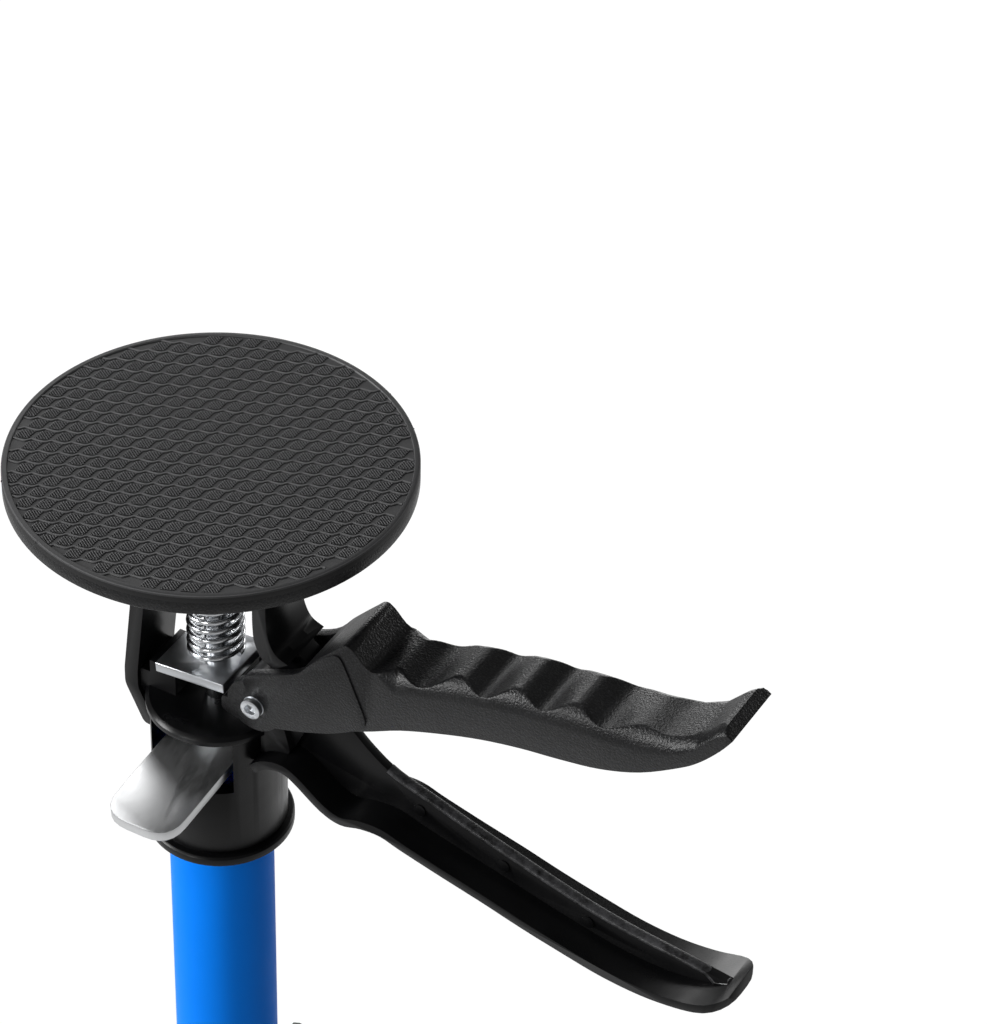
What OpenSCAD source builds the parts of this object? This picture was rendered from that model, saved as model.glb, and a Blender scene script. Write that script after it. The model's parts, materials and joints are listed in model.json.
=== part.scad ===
// Telescopic support pole for holding up boards, with a squeeze-handle jack head.
// Z runs up the pole, X points to the two handles, and the origin is the centre of the foot's face.
// The upper tube is shown drawn out a short way. Lengths are millimetres.

/* [Tubes] */
// Outside diameter of the lower tube
outer_d = 35; // [32:0.5:40]
// Wall of both tubes
tube_wall = 1; // [0.8:0.1:1.4]
// Radial gap between the two tubes
tube_gap = 0.5; // [0.4:0.1:0.8]
// Length of the lower tube
lower_l = 1186; // [600:1:1800]
// How far the upper tube is drawn out of its collar
draw_out = 122; // [20:1:400]

/* [Swivel pads] */
// Diameter of each pad
pad_d = 120; // [100:1:140]
// Thickness of a pad at its rim, with its tread
pad_t = 7; // [6:0.5:9]
// Thickness of the rubber tread
tread_t = 2.5; // [2:0.25:3]
// Thickness of the pad's plate behind the tread
pad_web_t = 2; // [1.5:0.25:2.5]
// Width of the raised rim round the back of a pad
pad_rim_w = 3.5; // [2.5:0.5:5]
// Number of stiffening ribs on a pad
pad_ribs = 6; // [6:2:8]
// Thickness of a stiffening rib
pad_rib_t = 3; // [2:0.5:3.5]
// Distance from the back of a pad to its swivel pin
pin_lift = 8; // [7.5:0.25:9]
// Radius of the cheeks round the swivel pin
hub_r = 9; // [8.5:0.25:10]
// Width over both cheeks of the swivel
hub_w = 34; // [30:1:38]
// Diameter of a swivel pin
pin_d = 5; // [4:0.5:6]
// Thickness of the eye between the cheeks
eye_t = 6; // [5:0.5:7]

/* [Foot cap] */
// Height of the cap over the lower tube
cap_l = 38; // [30:1:50]
// Wall of the cap over the tube
cap_wall = 3.75; // [3:0.25:5]
// Height of the sloping shoulder of the cap
cap_cone_h = 7; // [5:1:10]
// Length of the neck under the shoulder
neck_l = 7; // [6:0.5:10]

/* [Clamp collar] */
// Length of the collar's socket on the lower tube
socket_l = 37.5; // [32:0.5:45]
// Length of the split part that grips the upper tube
split_l = 29; // [27:0.5:36]
// Wall of the split part
split_wall = 3.95; // [3:0.25:5]
// Width of the slit
slit_w = 2.5; // [1.5:0.5:3]
// Thickness of one clamping ear
ear_t = 8; // [6:0.5:10]
// Diameter of the clamp bolt
bolt_d = 6; // [5:0.5:8]
// Radius of the star knob over its arms
knob_r = 29; // [24:0.5:32]
// Thickness of the star knob's arms
knob_t = 9; // [7:0.5:12]

/* [Jack head] */
// Wall of the sleeve round the upper tube
sleeve_wall = 4.45; // [4:0.25:6]
// Depth of the upper tube's seat in the sleeve
seat_h = 27; // [24:0.5:28]
// Height of the floor's underside over the sleeve's bottom
cavity_top = 47.5; // [46:0.5:50]
// Thickness of the floor that guides the rod
floor_t = 4; // [3:0.5:5]
// Height of the head over the sleeve's bottom
frame_h = 116; // [114:0.5:124]
// Thickness of the bridge across the top
bridge_t = 7.5; // [7:0.5:9]
// Width of both arms of the head's frame
arm_w = 20; // [18:0.5:22]
// Thickness of both arms
arm_t = 4.6; // [4:0.2:5.2]
// Thickness of the web that carries the pivot
head_web_t = 8; // [6:0.5:10]
// Diameter of the lifting rod
rod_d = 7; // [6:0.5:8]
// Length of rod below the head's bottom
rod_tail = 88; // [60:1:120]

/* [Handles] */
// Reach of the handles from the trigger's pivot
grip_l = 159; // [140:1:175]
// Width of both handles
grip_w = 24; // [22:0.5:28]
// Thickness of the fixed handle's web and palm flange
web_t = 3; // [2.5:0.25:4]
// Thickness of one cheek of the trigger
cheek_t = 3.4; // [2.5:0.1:4]
// Thickness of the trigger's roof over its hollow underside
roof_t = 4.5; // [3.5:0.25:6]
// Height of the trigger's pivot over the sleeve's bottom
pivot_h = 64.2; // [63:0.2:66]
// Radius of the trigger's cheeks round the pivot
boss_r = 9; // [8:0.25:9.5]
// Diameter of the pivot screw
screw_d = 5; // [4:0.5:5.5]
// Distance from the pivot to the tip of the trigger's nose
lever_l = 11.2; // [10.6:0.1:11.8]

/* [Plates and springs] */
// Length of the drive plate
drive_l = 24; // [22:0.5:25]
// Width of the drive plate
drive_w = 23.4; // [20:0.2:24]
// Thickness of the drive plate
drive_t = 3.3; // [2.5:0.1:4]
// Tilt of the drive plate, in degrees
drive_tilt = 5; // [3:0.5:6]
// Width of the release tongue
tongue_w = 24; // [20:0.5:26]
// Reach of the release tongue from the pole's axis
tongue_l = 46; // [40:0.5:54]
// Thickness of the release tongue
tongue_t = 3.5; // [2.5:0.25:4]
// Tilt of the release tongue at rest, in degrees
tongue_tilt = 5; // [3:0.5:6]
// Outside diameter of the main spring
main_od = 17; // [16:0.5:18]
// Wire of the main spring
main_wire = 1.8; // [1.4:0.1:2]
// Turns of the main spring
main_turns = 11; // [9:1:12]
// Outside diameter of the brake spring
brake_od = 12; // [11.5:0.25:13]
// Wire of the brake spring
brake_wire = 1.2; // [0.9:0.1:1.3]
// Turns of the brake spring
brake_turns = 4; // [3:1:5]

/* [Hidden] */
$fn = 64;

// Clearances
fit = 0.05;       // a running or seated round fit, on the radius
gap = 0.3;        // between faces that move past each other
cut = 1;          // overrun of a cut past the face it leaves

// Foot and cap, from the floor up
pin_z = pad_t + pin_lift;
eye_clear = 1;                // between a swivel's eye and the parts round it
eye_r = pin_lift - eye_clear;
neck_r = eye_r;
neck_z = pin_z + hub_r + eye_clear;
cap_z = neck_z + neck_l;
cap_floor_t = 2;
cap_floor = cap_z + cap_cone_h + cap_floor_t;
outer_r = outer_d / 2;
cap_r = outer_r + fit + cap_wall;

// Tubes and collar
tube_top = cap_floor + lower_l;
collar_seat_t = 1.5;
collar_z = tube_top + collar_seat_t - socket_l;
split_z = tube_top + collar_seat_t;
collar_top = split_z + split_l;
inner_r = outer_r - tube_wall - tube_gap;
split_r = inner_r + fit + split_wall;
head_z = collar_top + draw_out;
park_gap = 2;                 // between collar and head when pushed right in
floor_gap = 10;               // between guide bush and cap when pushed right in
bush_lip = 12;
bush_plug = 14;
upper_l = collar_top + park_gap + seat_h - cap_floor - floor_gap - bush_lip;
upper_z = head_z + seat_h - upper_l;

// Clamp hardware
ear_h = 23;
bolt_r = bolt_d / 2;
bolt_clear = 2;               // from the bolt's hole to the collar's outside
bolt_x = split_r + bolt_r + bolt_clear;
bolt_z = split_z + split_l / 2;
ear_x = bolt_x + ear_h / 2;
ear_y = slit_w / 2 + ear_t;
washer_t = 1.4;
bolt_head_t = 4;
knob_lift = 2.2;              // between the knob's arms and the tubes
knob_y = cap_r + knob_lift;
insert_wall = 2.5;
insert_r = bolt_r + insert_wall;
knob_neck_wall = 1.5;
knob_hub_wall = 4;
knob_hub_rise = 1.5;

// Head, measured up from the sleeve's bottom
sleeve_r = inner_r + fit + sleeve_wall;
flange_step = 2;
flange_h = 3.5;
groove = 0.6;
bead_step = 1.2;
sleeve_top = cavity_top + floor_t;
rod_r = rod_d / 2;
window_side = 2.5;            // each side of the release tongue
window_sill = 1.5;
window_w = tongue_w + 2 * window_side;
window_h = seat_h + window_sill;
bridge_h = frame_h - bridge_t;
eye_seat = 3;                 // depth of the recess for the foot of the rod's eye
eye_foot_wall = 2;
eye_foot_r = rod_r + eye_foot_wall;
lug_w = grip_w - 2 * cheek_t - 2 * gap;
pivot_x = sleeve_r;
head_pin = frame_h + gap * 1.5 + hub_r;
head_top = head_pin + pin_lift + pad_t;
bush_wall = 1;
bush_r = screw_d / 2 + bush_wall;

// Drive plate: its low end rests on the back lug, its high end on the trigger's nose
lug_x = -sleeve_r * 0.68;
plate_drop = 2.7;
lug_top = pivot_h - plate_drop;
lug_l = 9;
plate_play = 0.5;             // round the rod in both jam plates
plate_hole_r = rod_r + plate_play;
nose_h = lug_top + drive_l * sin(drive_tilt);
nose_t = 5.2;

// Release tongue: its far end rocks on the round edge of a ledge in the sleeve
ledge_y = inner_r * 0.72;
ledge_top = 35;
ledge_r = 1;                  // round of the ledge's edge
tongue_clear = 0.6;
tongue_far = inner_r - tongue_clear;
tongue_round = 9;

// Springs
washer_over = 0.8;            // washer past the spring's outside
main_r = (main_od - main_wire) / 2;
main_low = lug_top + gap + (0 - lug_x) * sin(drive_tilt) + drive_t + main_wire / 2 + gap * 2;
main_high = bridge_h - washer_t - main_wire / 2 - gap;
brake_r = (brake_od - brake_wire) / 2;
brake_low = ledge_top + tongue_t - ledge_y * sin(tongue_tilt) + brake_wire / 2 + gap * 2;
brake_high = cavity_top - brake_wire / 2 - gap;
closed_gap = 0.5;             // space between the closed turns at a spring's ends
curl_rings = 8;
wire_sides = 6;

// Lines of the head's frame: x in shares of the sleeve's radius, height in shares of frame_h
back_line_shares = [[0.2, 1], [-0.86, 1], [-0.97, 0.985], [-1.29, 0.488], [-1.29, 0.435], [-0.98, 0.32]];
front_line_shares = [[1.16, 0.98], [1.17, 0.91], [1.17, 0.84], [1.2, 0.785], [1.32, 0.74], [1.53, 0.722]];
front_step = [1, 0.8];        // from the front arm's outer line to its inner one, in shares of arm_t
head_web_shares = [[1.05, 0.78], [1.05, 0.54], [0.8, 0.47], [0.8, 0.38], [1.4, 0.38], [1.66, 0.48], [1.74, 0.57],
                   [1.7, 0.7], [1.53, 0.72], [1.3, 0.74]];
root_shares = [[0.9, 0.36], [0.9, 0.485], [1.32, 0.485], [1.44, 0.4], [1.3, 0.34]];

// Outlines of the handles, measured from the trigger's pivot in shares of grip_l
palm_shares = [[0, -0.168], [0.022, -0.149], [0.053, -0.14], [0.082, -0.151], [0.142, -0.196],
               [0.186, -0.21], [0.23, -0.199], [0.273, -0.197], [0.316, -0.21], [0.403, -0.233],
               [0.489, -0.254], [0.574, -0.277], [0.66, -0.297], [0.745, -0.314], [0.828, -0.32],
               [0.9, -0.314], [0.952, -0.301], [1, -0.28]];
web_top_shares = [[0.975, -0.272], [0.862, -0.257], [0.778, -0.247], [0.694, -0.232], [0.609, -0.21],
                  [0.523, -0.184], [0.437, -0.158], [0.351, -0.129], [0.265, -0.1], [0.213, -0.066],
                  [0.175, -0.031], [0.14, -0.001], [0, 0]];
cheek_shares = [[-0.031, 0.062], [0.097, 0.121], [0.129, 0.167], [0.178, 0.21], [0.192, 0.2], [0.247, 0.066],
                [0.22, 0.042], [0.167, 0.01], [0.097, -0.018], [0.018, -0.042]];
grip_top_shares = [[0.097, 0.121], [0.129, 0.165], [0.178, 0.218], [0.198, 0.236], [0.216, 0.228],
                   [0.25, 0.198], [0.297, 0.21], [0.355, 0.203], [0.424, 0.252], [0.482, 0.239],
                   [0.543, 0.28], [0.6, 0.263], [0.658, 0.296], [0.72, 0.28], [0.786, 0.306],
                   [0.85, 0.313], [0.905, 0.342], [0.943, 0.382], [0.957, 0.39]];
grip_low_shares = [[0.978, 0.376], [0.955, 0.342], [0.919, 0.3], [0.881, 0.268], [0.803, 0.219], [0.724, 0.189],
                   [0.643, 0.173], [0.562, 0.161], [0.48, 0.143], [0.397, 0.117], [0.313, 0.085],
                   [0.236, 0.046], [0.167, 0.02], [0.11, 0.03]];

// Points of a list of shares, in the two sizes that they follow
function sized(shares, sx, sy) = [for (s = shares) [s[0] * sx, s[1] * sy]];

// A smooth open curve through points
function through(p, n = 4) = concat([for (i = [0 : len(p) - 2]) let (
    a = p[max(i - 1, 0)], b = p[i], c = p[i + 1], d = p[min(i + 2, len(p) - 1)])
    each [for (k = [0 : n - 1]) let (t = k / n)
        (2 * b + (c - a) * t + (2 * a - 5 * b + 4 * c - d) * t ^ 2 + (3 * b - a - 3 * c + d) * t ^ 3) / 2]],
    [p[len(p) - 1]]);

// A closed outline with its corners rounded over a length r, never more than a share of a side
round_share = 0.45;
function eased(p, r, n = 3) = let (m = len(p)) [for (i = [0 : m - 1]) let (
    a = p[(i + m - 1) % m], b = p[i], c = p[(i + 1) % m],
    s = b + (a - b) * min(r / norm(a - b), round_share),
    e = b + (c - b) * min(r / norm(c - b), round_share))
    each [for (k = [0 : n]) let (t = k / n) s * (1 - t) ^ 2 + 2 * b * t * (1 - t) + e * t ^ 2]];

// The line that lies t to the left of an open line
function beside(p, t) = [for (i = [0 : len(p) - 1]) let (
    d = p[min(i + 1, len(p) - 1)] - p[max(i - 1, 0)]) p[i] + t * [-d[1], d[0]] / norm(d)];
function turned(p) = [for (i = [len(p) - 1 : -1 : 0]) p[i]];

// Height of a spring's wire along its length, with closed turns at both ends
function spring_z(u, turns, low, high, wire) = let (
    ends = wire + closed_gap,
    open = (high - low - 2 * ends) / (turns - 2))
    low + ends * min(u, 1) + open * max(0, min(u, turns - 1) - 1) + ends * max(0, u - turns + 1);

// Centres of the wire's rings; the low end leans with the plate under it
function spring_line(r, turns, low, high, wire, lean) = [for (i = [0 : turns * curl_rings]) let (
    u = i / curl_rings, x = r * cos(360 * u), y = r * sin(360 * u), share = 1 - u / turns)
    [x, y, spring_z(u, turns, low, high, wire) + share * lean * x]];

function least_gap(line, wire) = min([for (i = [0 : len(line) - 1])
    for (j = [i + curl_rings / 2 : 1 : len(line) - 1]) norm(line[i] - line[j])]) - wire;

// A wire of wire_sides sides along a line of points, run straight on for one wire at both ends
module wire_form(line, wire) {
    m = len(line) - 1;
    first = line[0] - wire * (line[1] - line[0]) / norm(line[1] - line[0]);
    last = line[m] + wire * (line[m] - line[m - 1]) / norm(line[m] - line[m - 1]);
    path = concat([first], line, [last]);
    rings = [for (i = [0 : m + 2]) let (
        d = path[min(i + 1, m + 2)] - path[max(i - 1, 0)],
        t = d / norm(d),
        at = path[max(1, min(i, m + 1))],
        out = [at[0], at[1], 0] / norm([at[0], at[1]]),
        up = cross(t, out) / norm(cross(t, out)),
        side = cross(up, t))
        [for (k = [0 : wire_sides - 1]) let (q = 360 * k / wire_sides)
            path[i] + wire / 2 * (side * cos(q) + up * sin(q))]];
    tube(rings);
}

// A closed tube through rings of points
module tube(rings) {
    n = len(rings[0]);
    m = len(rings);
    sides = [for (i = [0 : m - 2]) for (k = [0 : n - 1]) let (
        a = i * n + k, b = i * n + (k + 1) % n, c = a + n, d = b + n) each [[a, b, d], [a, d, c]]];
    caps = [for (k = [1 : n - 2]) each [[0, k + 1, k], [(m - 1) * n, (m - 1) * n + k, (m - 1) * n + k + 1]]];
    polyhedron([for (r = rings) each r], [for (f = concat(sides, caps)) [f[2], f[1], f[0]]], convexity = 10);
}

// A cylinder along X or Y, between two places on that axis
module rod_x(r, x0, x1) {
    translate([x0, 0, 0])
        rotate([0, 90, 0])
            cylinder(r = r, h = x1 - x0);
}
module rod_y(r, y0, y1, sides = 64) {
    translate([0, y0, 0])
        rotate([-90, 0, 0])
            cylinder(r = r, h = y1 - y0, $fn = sides);
}

// A block from corner to corner
module block(low, high) {
    translate(low)
        cube(high - low);
}

// An outline in X and Z, as thick as w along Y, centred on the plane of the handles
module slab(outline, w) {
    rotate([90, 0, 0])
        translate([0, 0, -w / 2])
            linear_extrude(w)
                polygon(outline);
}

// One pad with its face on the floor: plate, rim, ribs and the two cheeks of the swivel
module pad_body() {
    rim_r = pad_d / 2;
    plate_top = tread_t + pad_web_t;
    rib_r = rim_r * 0.73;
    rib_top = pin_z + hub_r * 0.5;
    pin_rib_top = pin_z - pin_d;      // the two ribs under the pin's heads stay clear of them
    slot = eye_t + 2 * gap;
    root = tread_t + pad_web_t / 2;
    difference() {
        union() {
            rotate_extrude($fn = 96)
                polygon([[0, tread_t], [rim_r, tread_t], [rim_r, pad_t - groove], [rim_r - groove, pad_t],
                         [rim_r - pad_rim_w + groove, pad_t], [rim_r - pad_rim_w, pad_t - groove],
                         [rim_r - pad_rim_w, plate_top], [0, plate_top]]);
            translate([0, 0, root])
                cylinder(r = hub_w / 2 + groove, h = pad_t);
            translate([0, 0, pin_z])
                rod_x(hub_r, -hub_w / 2, hub_w / 2);
            block([-hub_w / 2, -hub_r, root], [hub_w / 2, hub_r, pin_z]);
            for (i = [0 : pad_ribs - 1])
                rotate([0, 0, i * 360 / pad_ribs])
                    slab([[hub_r * 0.9, root], [rib_r, root], [rib_r, plate_top + groove],
                          [hub_w / 2, i % (pad_ribs / 2) == 0 ? pin_rib_top : rib_top],
                          [hub_r * 0.9, i % (pad_ribs / 2) == 0 ? pin_rib_top : rib_top]], pad_rib_t);
        }
        block([-slot / 2, -pad_d, pin_z - eye_r - gap], [slot / 2, pad_d, pin_z + 2 * hub_r]);
        translate([0, 0, pin_z])
            rod_x(pin_d / 2 + fit, -hub_w, hub_w);
    }
}

// The tread under a pad, with its raised lip set off by a fine groove
module pad_tread() {
    rim_r = pad_d / 2;
    lip = 2;
    difference() {
        rotate_extrude($fn = 96)
            polygon([[0, 0], [rim_r - groove, 0], [rim_r, groove], [rim_r, tread_t], [0, tread_t]]);
        rotate_extrude($fn = 96)
            translate([rim_r - lip - groove, -cut])
                square([groove, cut + groove]);
    }
}

// A swivel pin with a low domed head at each end
module swivel_pin() {
    head_t = 1.2;
    rod_x(pin_d / 2, -hub_w / 2, hub_w / 2);
    for (side = [-1, 1])
        translate([side * hub_w / 2, 0, 0])
            rotate([0, side * 90, 0])
                cylinder(r1 = pin_d * 0.85, r2 = pin_d * 0.6, h = head_t);
}

module foot_tread() {
    color("#1b1b1c")
        pad_tread();
}

module foot_pad() {
    color("#222224")
        pad_body();
}

module foot_pin() {
    color("#b9bcc0")
        translate([0, 0, pin_z])
            swivel_pin();
}

// Cap over the lower end of the pole, with the eye that the foot swivels on
module foot_cap() {
    color("#1d1d1f")
        difference() {
            union() {
                rotate_extrude()
                    polygon([[0, neck_z], [neck_r, neck_z], [neck_r, cap_z], [cap_r * 0.62, cap_z + cap_cone_h * 0.3],
                             [cap_r - groove, cap_z + cap_cone_h], [cap_r, cap_z + cap_cone_h + groove],
                             [cap_r, cap_floor + cap_l - groove], [cap_r - groove, cap_floor + cap_l],
                             [0, cap_floor + cap_l]]);
                translate([0, 0, pin_z])
                    rod_x(eye_r, -eye_t / 2, eye_t / 2);
                block([-eye_t / 2, -eye_r, pin_z], [eye_t / 2, eye_r, neck_z + cut]);
                for (side = [0, 90, 180, 270])
                    rotate([0, 0, side])
                        slab([[neck_r * 0.5, cap_z], [neck_r + groove, cap_z - groove],
                              [cap_r * 0.7, cap_z + cap_cone_h * 0.55], [neck_r * 0.5, cap_z + cap_cone_h * 0.6]],
                             pad_rib_t);
            }
            translate([0, 0, cap_floor])
                cylinder(r = outer_r + fit, h = cap_l + cut);
            translate([0, 0, pin_z])
                rod_x(pin_d / 2 + fit, -eye_t, eye_t);
        }
}

module outer_tube() {
    color("#0a64d8")
        translate([0, 0, cap_floor])
            difference() {
                cylinder(r = outer_r, h = lower_l);
                translate([0, 0, -cut])
                    cylinder(r = outer_r - tube_wall, h = lower_l + 2 * cut);
            }
}

// Collar pressed on the lower tube, split above it and drawn together by the ears
module lock_collar() {
    color("#222224")
        difference() {
            union() {
                rotate_extrude()
                    polygon([[0, collar_z], [cap_r - groove, collar_z], [cap_r, collar_z + groove],
                             [cap_r, split_z - groove], [cap_r - groove, split_z], [split_r, split_z],
                             [split_r, collar_top - groove], [split_r - groove, collar_top], [0, collar_top]]);
                translate([0, 0, bolt_z])
                    slab(eased([[0, -ear_h / 2], [bolt_x, -ear_h / 2], [ear_x, -ear_h / 4], [ear_x, ear_h / 4],
                                [bolt_x, ear_h / 2], [0, ear_h / 2]], ear_h / 4), 2 * ear_y);
            }
            translate([0, 0, collar_z - cut])
                cylinder(r = outer_r + fit, h = socket_l - collar_seat_t + cut);
            translate([0, 0, collar_z])
                cylinder(r = inner_r + fit, h = socket_l + split_l + cut);
            block([0, -slit_w / 2, split_z + gap], [ear_x + cut, slit_w / 2, collar_top + cut]);
            translate([bolt_x, 0, bolt_z])
                rod_y(bolt_r + gap, -ear_y - cut, ear_y + cut);
        }
}

module clamp_bolt() {
    head_y = -ear_y - washer_t;
    color("#c4c7ca")
        translate([bolt_x, 0, bolt_z]) {
            rod_y(bolt_r, head_y, knob_y + knob_t * 0.6);
            rod_y(bolt_d * 0.95, head_y - bolt_head_t, head_y, 6);
        }
}

module clamp_washer() {
    color("#c4c7ca")
        translate([bolt_x, 0, bolt_z])
            difference() {
                rod_y(bolt_d * 1.15, -ear_y - washer_t, -ear_y);
                rod_y(bolt_r + fit, -ear_y - washer_t - cut, -ear_y + cut);
            }
}

// Star knob: a round boss with four tapering arms, clear of the tubes as it turns
module star_knob() {
    arms = 4;
    waist = 0.4;
    steps = 72;
    arm_r = [for (i = [0 : steps - 1]) knob_r * (waist + (1 - waist) * pow((1 + cos(arms * 360 * i / steps)) / 2, 1.6))];
    outline = [for (i = [0 : steps - 1]) arm_r[i] * [cos(360 * i / steps), sin(360 * i / steps)]];
    color("#1d1d1f")
        translate([bolt_x, 0, bolt_z])
            difference() {
                union() {
                    rod_y(insert_r + knob_neck_wall, ear_y + gap, knob_y + cut);
                    translate([0, knob_y + groove, 0])
                        rotate([-90, 45, 0])
                            linear_extrude(knob_t - 2 * groove)
                                polygon(outline);
                    translate([0, knob_y, 0])
                        rotate([-90, 45, 0])
                            linear_extrude(knob_t)
                                polygon(outline * ((knob_r - groove * 2) / knob_r));
                    rod_y(insert_r + knob_hub_wall, knob_y, knob_y + knob_t + knob_hub_rise);
                }
                rod_y(insert_r + fit / 2, ear_y - cut, knob_y + knob_t * 0.75);
            }
}

module knob_insert() {
    color("#c9a95e")
        translate([bolt_x, 0, bolt_z])
            difference() {
                rod_y(insert_r, ear_y + gap, knob_y + knob_t * 0.7);
                rod_y(bolt_r + fit, ear_y, knob_y + knob_t);
            }
}

module inner_tube() {
    color("#0a64d8")
        translate([0, 0, upper_z])
            difference() {
                cylinder(r = inner_r, h = upper_l);
                translate([0, 0, -cut])
                    cylinder(r = inner_r - tube_wall, h = upper_l + 2 * cut);
            }
}

// Plastic bush in the foot of the upper tube, which runs in the lower tube
module guide_bush() {
    bore_r = inner_r - tube_wall - fit;
    color("#2b2b2d")
        translate([0, 0, upper_z])
            difference() {
                union() {
                    translate([0, 0, -bush_lip])
                        cylinder(r = outer_r - tube_wall - fit, h = bush_lip);
                    cylinder(r = bore_r, h = bush_plug);
                }
                translate([0, 0, -bush_lip - cut])
                    cylinder(r = bore_r * 0.8, h = bush_lip + bush_plug + 2 * cut);
            }
}

// Lines of the fixed handle, measured from the pivot
function palm_line() = through(sized(palm_shares, grip_l, grip_l));
function web_top_line() = through(sized(web_top_shares, grip_l, grip_l));

// Fixed handle: a thin web with a broad flange along the palm's side
module fixed_handle() {
    palm = palm_line();
    tip_r = grip_w * 0.42;
    translate([pivot_x, 0, pivot_h])
        intersection() {
            union() {
                slab(concat(palm, web_top_line()), web_t);
                slab(concat(palm, turned(beside(palm, web_t))), grip_w);
            }
            translate([0, 0, -grip_l])
                linear_extrude(2 * grip_l)
                    polygon(eased([[-grip_w, -grip_w / 2], [grip_l, -grip_w / 2], [grip_l, grip_w / 2],
                                   [-grip_w, grip_w / 2]], tip_r, 6));
        }
}

// Head moulding: sleeve, floor, open frame round the spring, web for the pivot and fixed handle
module head_body() {
    back = sized(back_line_shares, sleeve_r, frame_h);
    back_inside = [for (i = [5 : -1 : 2]) back[i] + [arm_t, 0]];
    front = through(sized(front_line_shares, sleeve_r, frame_h));
    front_inside = [for (p = turned(front)) p - arm_t * front_step];
    corner_r = 1.5;
    bead_r = sleeve_r + bead_step;
    mark_r = 2;
    mark_h = 0.5;
    color("#1d1d1f")
        translate([0, 0, head_z])
            difference() {
                union() {
                    rotate_extrude()
                        polygon([[0, 0], [sleeve_r + flange_step - groove, 0], [sleeve_r + flange_step, groove],
                                 [sleeve_r + flange_step, flange_h - groove],
                                 [sleeve_r + flange_step - groove, flange_h], [sleeve_r - groove, flange_h],
                                 [sleeve_r - groove, flange_h + groove], [sleeve_r, flange_h + 2 * groove],
                                 [sleeve_r, cavity_top], [bead_r, cavity_top + bead_step],
                                 [bead_r, sleeve_top - bead_step], [bead_r - bead_step, sleeve_top], [0, sleeve_top]]);
                    slab(eased(concat(back, back_inside), corner_r), arm_w);
                    slab(concat([[sleeve_r, frame_h]], front, front_inside), arm_w);
                    block([-sleeve_r * 0.9, -arm_w / 2, bridge_h], [sleeve_r * 1.08, arm_w / 2, frame_h]);
                    block([lug_x - lug_l / 2, -lug_w / 2, cavity_top], [lug_x + lug_l / 2, lug_w / 2, lug_top]);
                    block([-sleeve_r * 1.15, -lug_w / 2, cavity_top], [lug_x, lug_w / 2, lug_top - lug_l / 2]);
                    slab(eased(sized(head_web_shares, sleeve_r, frame_h), corner_r), head_web_t);
                    slab(sized(root_shares, sleeve_r, frame_h), lug_w * 0.8);
                    fixed_handle();
                    translate([pivot_x, 0, pivot_h])
                        rod_y(boss_r * 0.85, -lug_w / 2, lug_w / 2);
                    for (s = [0.32, 0.5, 0.68])
                        translate([pivot_x + grip_l * s, 0, pivot_h - grip_l * (0.065 + s * 0.29)])
                            rod_y(mark_r, -web_t / 2 - mark_h, web_t / 2 + mark_h);
                }
                translate([0, 0, -cut])
                    cylinder(r = inner_r + fit, h = seat_h + cut);
                difference() {
                    translate([0, 0, seat_h - cut])
                        cylinder(r = inner_r + fit, h = cavity_top - seat_h + cut);
                    block([-sleeve_r, ledge_y - ledge_r, seat_h + gap], [sleeve_r, sleeve_r, ledge_top - ledge_r]);
                    translate([0, ledge_y, ledge_top - ledge_r])
                        rod_x(ledge_r, -sleeve_r, sleeve_r);
                }
                block([-window_w / 2, -2 * sleeve_r, window_h], [window_w / 2, 0, cavity_top]);
                cylinder(r = rod_r + fit, h = frame_h + cut);
                translate([0, 0, frame_h - eye_seat])
                    cylinder(r = eye_foot_r + gap, h = eye_seat + cut);
                translate([pivot_x, 0, pivot_h])
                    rod_y(bush_r + fit / 2, -grip_w, grip_w);
            }
}

module spring_washer() {
    color("#c4c7ca")
        translate([0, 0, head_z + bridge_h - washer_t])
            difference() {
                cylinder(r = main_od / 2 + washer_over, h = washer_t);
                translate([0, 0, -cut])
                    cylinder(r = rod_r + gap, h = washer_t + 2 * cut);
            }
}

// Steel bush through the lug and both cheeks, which the trigger turns on
module pivot_bush() {
    color("#b9bcc0")
        translate([pivot_x, 0, head_z + pivot_h])
            difference() {
                rod_y(bush_r, -grip_w / 2, grip_w / 2);
                rod_y(screw_d / 2 + fit, -grip_w, grip_w);
            }
}

module pivot_screw() {
    head_r = screw_d * 0.66;
    head_t = 2;
    socket_r = head_r * 0.6;
    color("#c4c7ca")
        translate([pivot_x, 0, head_z + pivot_h])
            difference() {
                union() {
                    rod_y(screw_d / 2, -grip_w / 2, grip_w / 2 + screw_d * 0.9);
                    rod_y(head_r, -grip_w / 2 - head_t, -grip_w / 2);
                }
                rod_y(socket_r, -grip_w / 2 - head_t - cut, -grip_w / 2 - head_t * 0.3, 6);
            }
}

module pivot_nut() {
    color("#c4c7ca")
        translate([pivot_x, 0, head_z + pivot_h])
            difference() {
                rod_y(screw_d * 0.92, grip_w / 2, grip_w / 2 + screw_d * 0.8, 6);
                rod_y(screw_d / 2 + fit, grip_w / 2 - cut, grip_w);
            }
}

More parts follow.
